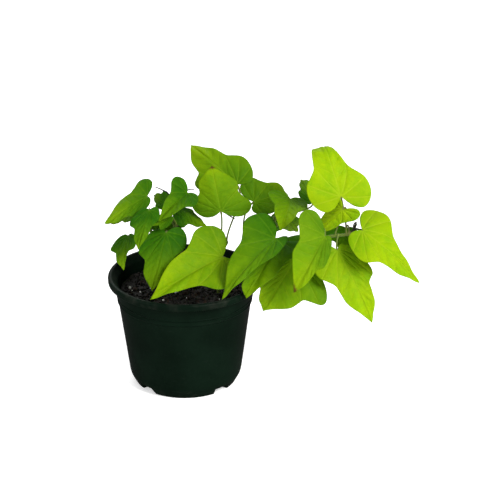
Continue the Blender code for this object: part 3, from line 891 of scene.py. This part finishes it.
def joined(name, parts, material):
    """One object of several closed bodies made one by a union."""
    hub, *others = [closed_piece(f"{name}_{number}", *part, material)
                    for number, part in enumerate(parts)]
    made = combined(name, hub, others, "UNION", material)
    weld(made.data, FINE_WELD)
    made.data.shade_smooth()
    return made


def hump(height, width, away):
    """A bell shaped rise: the height times e to minus the square of away / width."""
    return height * np.exp(-((away / width) ** 2))


def vine_piece(name, material):
    """A vine with its stalks. The vine swells where a stalk leaves it, and a stalk is
    thicker at both ends."""
    coarse = vine_route(name)
    fine = smooth_curve(coarse, VINE_STEPS)
    at = np.linspace(0, 1, len(fine))
    radii = VINE_RADIUS + (VINE_END_RADIUS - VINE_RADIUS) * at
    stalks = [leaf for leaf in LEAVES if leaf.vine == name]
    for leaf in stalks:
        radii = radii + hump(NODE_SWELL, NODE_LENGTH, at - leaf.at)
    parts = [tube_points(fine, radii, STEM_SIDES)]
    for leaf in stalks:
        route = petiole_route(leaf, coarse, PETIOLE_STEPS)
        place = np.linspace(0, 1, len(route))
        ends = hump(*STALK_FOOT, place) + hump(*STALK_HEAD, 1 - place)
        parts.append(tube_points(route, PETIOLE_RADIUS * (STALK_MIDDLE + ends), STALK_SIDES))
    return joined(name.replace("vine_", "stem_"), parts, material)


def wall_radius(height):
    """Outer radius of the tapered wall."""
    return WALL_FOOT_RADIUS + WALL_SLOPE * (height - WALL_FOOT_Z)


def rounded(points, radius):
    """A profile with its corners made round: each is replaced by points on a curve
    that starts and ends the given distance away, or less beside a short side."""
    points = np.array(points, float)
    made = [points[0]]
    t = np.linspace(0, 1, CORNER_STEPS)[:, None]
    for before, corner, after in zip(points, points[1:], points[2:]):
        sides = [np.linalg.norm(other - corner) for other in (before, after)]
        reach = min(radius, CORNER_SHARE * min(sides))
        start = corner + unit(before - corner) * reach
        end = corner + unit(after - corner) * reach
        made.extend(start * (1 - t) ** 2 + 2 * corner * t * (1 - t) + end * t**2)
    made.append(points[-1])
    return np.array(made)


def pot_profile():
    """Half section of the pot from the axis up the inside, over the lip, down the
    outside and back to the axis under the floor."""
    top = POT_HEIGHT
    lip_foot = top - LIP_DROP
    band_foot = top - BAND_HEIGHT
    inside = [
        (0, FLOOR_Z),
        (FOOT_RADIUS - WALL, FLOOR_Z),
        (WALL_FOOT_RADIUS - WALL, WALL_FOOT_Z + WALL),
        (wall_radius(lip_foot) - WALL, lip_foot),
        (RIM_RADIUS - LIP_WIDTH, top - LIP_ROUND),
        (RIM_RADIUS - LIP_WIDTH * 0.78, top - LIP_ROUND * 0.15),
    ]
    lip = [
        (RIM_RADIUS - LIP_WIDTH * 0.47, top),
        (RIM_RADIUS - LIP_WIDTH * 0.15, top - LIP_ROUND * 0.3),
        (RIM_RADIUS, top - LIP_ROUND),
        (RIM_RADIUS - LIP_WIDTH * 0.05, lip_foot + LIP_ROUND * 0.3),
        (RIM_RADIUS - LIP_WIDTH * 0.2, lip_foot),
        (wall_radius(lip_foot) + BAND_EXTRA * 2.7, lip_foot - LIP_ROUND * 0.4),
        (wall_radius(lip_foot) + BAND_EXTRA, lip_foot - LIP_ROUND),
    ]
    rings = []
    for height in (band_foot + RING_GAP, band_foot):
        rings += [
            (wall_radius(height + RING_HALF) + BAND_EXTRA, height + RING_HALF),
            (wall_radius(height) + BAND_EXTRA + RING_EXTRA, height),
            (wall_radius(height - RING_HALF) + BAND_EXTRA * 0.4, height - RING_HALF),
        ]
    foot = [
        (WALL_FOOT_RADIUS, WALL_FOOT_Z),
        (WALL_FOOT_RADIUS - FOOT_SLOPE, WALL_FOOT_Z * 0.7),
        (FOOT_RADIUS + FOOT_SLOPE, FOOT_HEIGHT * 0.3),
        (FOOT_RADIUS, 0),
        (FOOT_RADIUS - FOOT_WIDTH, 0),
        (FOOT_RADIUS - FOOT_WIDTH - FOOT_SLOPE, FOOT_HEIGHT),
        (BOSS_RADIUS + FOOT_SLOPE, FOOT_HEIGHT),
        (BOSS_RADIUS, 0),
        (0, 0),
    ]
    return rounded(inside + lip + rings + foot, CORNER_ROUND)


def pot_piece(material):
    """The profile turned about the z axis. Between the feet, points of the foot ring
    are lifted to the notch height, with a short slope at each foot's end. Drain
    holes are cut last."""
    profile = pot_profile()
    angle = np.linspace(0, 2 * np.pi, POT_TURNS, endpoint=False)
    radius = np.broadcast_to(profile[:, :1], (len(profile), POT_TURNS))
    height = np.broadcast_to(profile[:, 1:], radius.shape)
    spacing = 360 / NOTCH_COUNT
    from_notch = np.abs((np.degrees(angle) - NOTCH_TURN + spacing / 2) % spacing - spacing / 2)
    half, slope = NOTCH_ANGLE / 2, NOTCH_SLOPE / 2
    gap = smoothstep(half + slope, half - slope, from_notch)
    ring = (radius > FOOT_RADIUS - FOOT_WIDTH - FOOT_SLOPE * 1.5) & (height < FOOT_HEIGHT)
    height = np.where(ring, np.maximum(height, gap * FOOT_HEIGHT), height)
    points = np.stack([radius * np.cos(angle), radius * np.sin(angle), height], axis=-1)
    faces = grid_faces(len(profile), POT_TURNS, closed=True)
    turned = closed_piece("pot_turned", points.reshape(-1, 3), faces, material)
    holes = []
    for number in range(NOTCH_COUNT):
        turn = math.radians(NOTCH_TURN + spacing * number)
        middle = np.array([math.cos(turn), math.sin(turn), 0]) * DRAIN_CIRCLE
        route = [middle + (0, 0, height) for height in (DRAIN_LOW, DRAIN_HIGH)]
        tube = tube_points(route, [DRAIN_RADIUS] * 2, DRAIN_SIDES, False)
        holes.append(closed_piece(f"drain_{number}", *tube, material))
    pot = combined("pot_shell", turned, holes, "DIFFERENCE", material)
    pot.data.shade_smooth()
    pot.data.set_sharp_from_angle(angle=math.radians(SHARP_ANGLE))
    return pot


def soil_height(x, y, lump):
    """Crumbly surface: four sizes of noise over the soil's level."""
    lumps = sum(weight * value_noise(x, y, cell, seed) for weight, cell, seed in SOIL_NOISE)
    return SOIL_Z + lump * NOISE_SHARE * lumps


def soil_piece(sizes, material):
    """A turned body that fills the pot: rings from the middle of its crumbly top out
    to the wall, down the wall and back to the axis under it."""
    bend = WALL_FOOT_Z + WALL + SOIL_FOOT[1]
    under = FLOOR_Z + SOIL_GAP
    side = [
        (SOIL_REACH, SOIL_Z - SOIL_EDGE[1]),
        (wall_radius(bend) - WALL - SOIL_GAP, bend),
        (FOOT_RADIUS - WALL - SOIL_FOOT[0], under),
        (0, under),
    ]
    top = np.linspace((0, SOIL_Z), (SOIL_REACH - SOIL_EDGE[0], SOIL_Z), SOIL_RINGS)
    radius, level = np.vstack([top, side]).T
    angle = np.linspace(0, 2 * np.pi, SOIL_TURNS, endpoint=False)
    x = radius[:, None] * np.cos(angle)
    y = radius[:, None] * np.sin(angle)
    z = np.broadcast_to(level[:, None], x.shape).copy()
    z[:SOIL_RINGS] = soil_height(x[:SOIL_RINGS], y[:SOIL_RINGS], sizes.soil_lump / MM)
    faces = grid_faces(len(radius), SOIL_TURNS, closed=True)
    return closed_piece("soil_bed", np.stack([x, y, z], axis=-1).reshape(-1, 3), faces, material)


def ball():
    """Points and faces of a unit ball of 20 triangles."""
    made = bmesh.new()
    bmesh.ops.create_icosphere(made, subdivisions=1, radius=1.0)
    points = np.array([vertex.co for vertex in made.verts])
    faces = np.array([[vertex.index for vertex in face.verts] for face in made.faces])
    made.free()
    return points, faces


def turns(count, draw):
    """Random rotation matrices."""
    basis, upper = np.linalg.qr(draw.normal(size=(count, 3, 3)))
    basis = basis * np.sign(np.einsum("nii->ni", upper))[:, None, :]
    return basis * np.sign(np.linalg.det(basis))[:, None, None]


def scattered(name, sizes, shape, jitter, seed, smooth, count, lump, material):
    """Loose bits on the soil: balls with jittered points, stretched by the shape,
    turned at random and set on the surface, clear of the stems and the wall."""
    draw = np.random.default_rng(seed)
    points, faces = ball()
    least, most = sizes
    scale = least + (most - least) * draw.power(SIZE_POWER, count)
    lengths = np.array(shape) * draw.uniform(*STRETCH, (count, 3))
    bits = points[None] * (1 + draw.uniform(-jitter, jitter, (count, len(points), 1)))
    bits = bits * lengths[:, None] * scale[:, None, None]
    bits = np.einsum("nij,nkj->nki", turns(count, draw), bits)
    edge = SOIL_REACH - most * max(shape) * STRETCH[1] - CLEAR_OF_WALL
    reach = edge * np.sqrt(draw.uniform(0, 1, count))
    angle = draw.uniform(0, 2 * np.pi, count)
    x, y = reach * np.cos(angle), reach * np.sin(angle)
    for route in VINES.values():
        away = np.stack([x - route[0][0], y - route[0][1]])
        distance = np.maximum(np.linalg.norm(away, axis=0), 1e-6)
        push = np.maximum(0, VINE_RADIUS + CLEAR_OF_STEM + scale - distance) / distance
        x, y = x + away[0] * push, y + away[1] * push
    z = soil_height(x, y, lump) + scale * (1 - SINK) * min(shape)
    places = np.stack([x, y, z], axis=-1)
    everything = (bits + places[:, None]).reshape(-1, 3)
    corners = (faces[None] + (np.arange(count) * len(points))[:, None, None]).reshape(-1, 3)
    return add_piece(name, everything, corners, material, smooth)


def dry_piece(name, routes, girth, material):
    """Thin dry stalks: tubes along smooth curves that narrow towards their ends."""
    parts = []
    for route in routes:
        path = smooth_curve(route, DRY_STEPS)
        parts.append(tube_points(path, girth * np.linspace(1.0, DRY_TAPER, len(path)), STALK_SIDES))
    return joined(name, parts, material)


class VINE_OT_leaves(bpy.types.Operator):
    """Adds every leaf blade"""

    bl_idname = "vine.leaves"
    bl_label = "Leaves"

    def execute(self, context):
        material = leaf_material(context.scene.vine_colours)
        for leaf in LEAVES:
            settle(blade_piece(leaf, context.scene.vine_sizes, material), "leaf", leaf.name)
        return {"FINISHED"}


class VINE_OT_stems(bpy.types.Operator):
    """Adds the vines with their stalks, and the dry stalks"""

    bl_idname = "vine.stems"
    bl_label = "Stems"

    def execute(self, context):
        material = stem_material(context.scene.vine_colours)
        for name in VINES:
            settle(vine_piece(name, material), "stem", name)
        dry = dry_stem_material()
        settle(dry_piece("dry_shoot", DRY_SHOOT, DRY_SHOOT_RADIUS, dry), "stem")
        settle(dry_piece("dry_stalks", DRY_STALKS, DRY_STALK_RADIUS, dry), "stem")
        return {"FINISHED"}


class VINE_OT_pot(bpy.types.Operator):
    """Adds the nursery pot"""

    bl_idname = "vine.pot"
    bl_label = "Pot"

    def execute(self, context):
        settle(pot_piece(pot_material(context.scene.vine_colours)), "pot", "pot")
        return {"FINISHED"}


class VINE_OT_soil(bpy.types.Operator):
    """Adds the soil and the loose bits on it"""

    bl_idname = "vine.soil"
    bl_label = "Soil"

    def execute(self, context):
        sizes, colours = context.scene.vine_sizes, context.scene.vine_colours
        soil = soil_material(colours)
        settle(soil_piece(sizes, soil), "soil", "soil")
        for kind, count, material in (
            (CRUMBS, sizes.crumb_count, soil),
            (BARK, sizes.bark_count, bark_material(colours)),
            (PERLITE, sizes.perlite_count, perlite_material()),
        ):
            settle(scattered(*kind, count, sizes.soil_lump / MM, material), "soil")
        return {"FINISHED"}


class VINE_OT_stage(bpy.types.Operator):
    """Adds the floor, the lights and the camera"""

    bl_idname = "vine.stage"
    bl_label = "Stage"

    def execute(self, context):
        scene = context.scene
        made, shader, place = new_material("white floor")
        feed(place, shader, Base_Color=(0.9, 0.9, 0.9, 1.0), Roughness=0.9,
             Emission_Color=(1.0, 1.0, 1.0, 1.0), Emission_Strength=FLOOR_GLOW)
        dim = place.node("ShaderNodeBsdfDiffuse", Color=(0.02, 0.02, 0.02, 1.0))
        mix_in(made, shader, dim, mirrored(made.node_tree) * FLOOR_SHINE)
        corners = FLOOR_REACH * np.array([(-1, -1, 0), (1, -1, 0), (1, 1, 0), (-1, 1, 0)])
        floor = add_piece("floor", corners, [(0, 1, 2, 3)], made, smooth=False)
        world = bpy.data.worlds.new("white room")
        scene.world = world
        world.use_nodes = True
        tree = world.node_tree
        background = tree.nodes["Background"]
        strength = mirrored(tree) * (ROOM_SHINE - ROOM_LIGHT) + ROOM_LIGHT
        tree.links.new(strength.link, background.inputs["Strength"])
        background.inputs["Color"].default_value = (1.0, 1.0, 1.0, 1.0)
        for light in LIGHTS:
            add_light(*light)
        camera = bpy.data.cameras.new("camera")
        camera.sensor_width = CAMERA_SENSOR
        camera.lens = CAMERA_LENS
        camera.clip_end = CAMERA_REACH
        seen = placed("camera", camera)
        seen.location = np.array(CAMERA_PLACE) * MM
        seen.rotation_euler = (math.radians(90 - CAMERA_PITCH), 0, 0)
        scene.camera = seen
        scene.view_settings.view_transform = "Standard"
        return {"FINISHED"}


def add_light(name, place, size, power, colour):
    """A square soft light that looks at the middle of the plant."""
    lamp = bpy.data.lights.new(name, "AREA")
    lamp.size = size * MM
    lamp.energy = power
    lamp.color = colour
    obj = placed(name, lamp)
    obj.location = np.array(place) * MM
    look = np.array(LIGHT_AIM) - place
    flat = math.hypot(look[0], look[1])
    obj.rotation_euler = (math.atan2(flat, -look[2]), 0, math.atan2(-look[0], look[1]))


class VINE_PT_panel(bpy.types.Panel):
    """Lists the pieces in the sidebar"""

    bl_label = "Sweet potato vine"
    bl_idname = "VINE_PT_panel"
    bl_space_type = "VIEW_3D"
    bl_region_type = "UI"
    bl_category = "Vine"

    def draw(self, context):
        for group in (context.scene.vine_sizes, context.scene.vine_colours):
            for key in group.__annotations__:
                self.layout.prop(group, key)
        for operator in OPERATORS:
            self.layout.operator(operator.bl_idname)


OPERATORS = (VINE_OT_pot, VINE_OT_soil, VINE_OT_stems, VINE_OT_leaves, VINE_OT_stage)
CLASSES = (VineSizes, VineColours, *OPERATORS, VINE_PT_panel)


def register():
    for kind in CLASSES:
        bpy.utils.register_class(kind)
    bpy.types.Scene.vine_sizes = PointerProperty(type=VineSizes)
    bpy.types.Scene.vine_colours = PointerProperty(type=VineColours)


def unregister():
    del bpy.types.Scene.vine_colours
    del bpy.types.Scene.vine_sizes
    for kind in reversed(CLASSES):
        bpy.utils.unregister_class(kind)


def main():
    register()
    for step in (bpy.ops.vine.pot, bpy.ops.vine.soil, bpy.ops.vine.stems, bpy.ops.vine.leaves,
                 bpy.ops.vine.stage):
        step()


if __name__ == "__main__":
    main()
